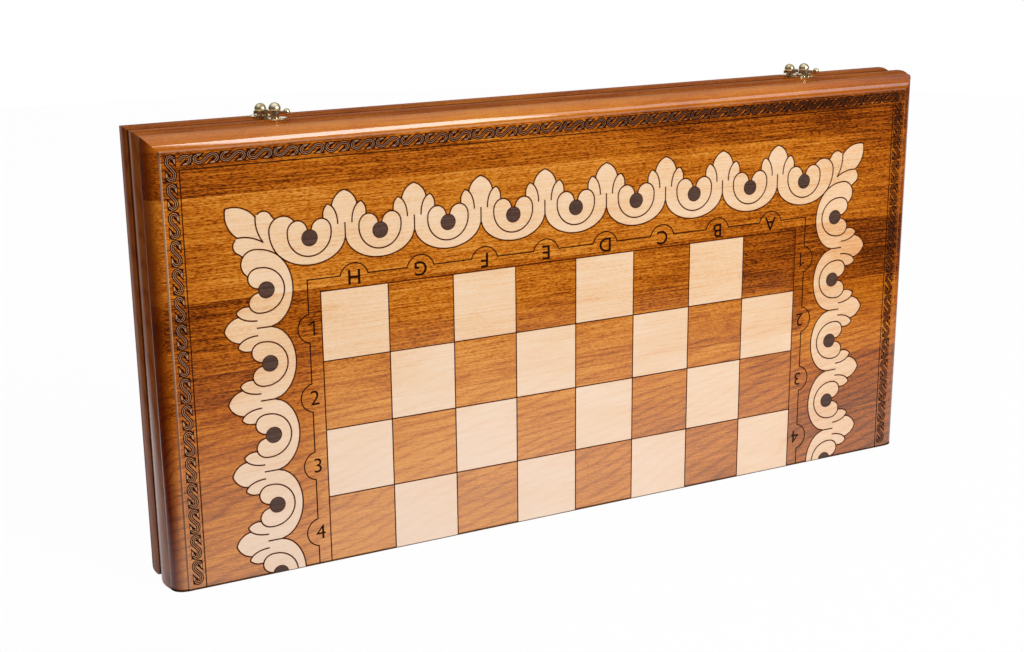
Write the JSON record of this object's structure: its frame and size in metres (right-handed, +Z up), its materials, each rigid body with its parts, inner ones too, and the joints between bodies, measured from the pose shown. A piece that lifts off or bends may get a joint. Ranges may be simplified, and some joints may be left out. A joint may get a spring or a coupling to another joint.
{
  "type": "chess and backgammon board",
  "caption": "Folding wooden game box, a chess board outside and backgammon inside, with a moulded and carved edge, flush brass fold hinges and brass hook latches.",
  "frame": {"origin": "middle of the hinge edge, on the surface the closed box stands on, in the plane where the halves meet", "axes": "+X along the long side, +Z up from the hinge edge to the latches, -Y out of the front chess face"},
  "size_m": [0.6, 0.065, 0.3103],
  "materials": {
    "board_wood": "satin lacquer",
    "wall_wood": "satin lacquer",
    "light_wood": "satin lacquer",
    "dark_wood": "satin lacquer",
    "brass": "aged, polished on the domes"
  },
  "bodies": {
    "rear_half": {"rear_board": "board_wood", "rear_top_wall": "wall_wood", "rear_left_wall": "wall_wood", "rear_right_wall": "wall_wood", "rear_hinge_wall": "wall_wood", "rear_light_squares": "light_wood", "rear_light_points": "light_wood", "rear_dark_points": "dark_wood", "rear_hinge_leaf_left": "brass", "rear_hinge_leaf_right": "brass", "rear_hinge_pins": "brass", "rear_hinge_screws": "brass", "rear_latch_plate_left": "brass", "rear_latch_plate_right": "brass", "rear_latch_post_left": "brass", "rear_latch_post_right": "brass"},
    "front_half": {"front_board": "board_wood", "front_top_wall": "wall_wood", "front_left_wall": "wall_wood", "front_right_wall": "wall_wood", "front_hinge_wall": "wall_wood", "front_light_squares": "light_wood", "front_light_points": "light_wood", "front_dark_points": "dark_wood", "front_hinge_leaf_left": "brass", "front_hinge_leaf_right": "brass", "front_hinge_pins": "brass", "front_hinge_screws": "brass", "front_latch_plate_left": "brass", "front_latch_plate_right": "brass", "front_latch_post_left": "brass", "front_latch_post_right": "brass"},
    "hinge_links": {"hinge_link_left": "brass", "hinge_link_right": "brass"},
    "latch_hook_left": {"latch_hook_left": "brass"},
    "latch_hook_right": {"latch_hook_right": "brass"}
  },
  "joints": [
    {"name": "rear_pin_fold", "type": "hinge", "parent": "rear_half", "child": "hinge_links", "pos_m": [-0.18, 0.004, 0.004], "axis": [1, 0, 0], "range_deg": [0, 90]},
    {"name": "front_pin_fold", "type": "hinge", "parent": "hinge_links", "child": "front_half", "pos_m": [-0.18, -0.004, 0.004], "axis": [1, 0, 0], "range_deg": [0, 90]},
    {"name": "left_hook_swing", "type": "hinge", "parent": "front_half", "child": "latch_hook_left", "pos_m": [-0.2061, -0.008, 0.3043], "axis": [0, 0, -1], "range_deg": [0, 100]},
    {"name": "right_hook_swing", "type": "hinge", "parent": "front_half", "child": "latch_hook_right", "pos_m": [0.2099, -0.008, 0.3043], "axis": [0, 0, -1], "range_deg": [0, 100]}
  ],
  "couplings": [
    {"joint": "rear_pin_fold", "follows": "front_pin_fold", "ratio": 1}
  ]
}
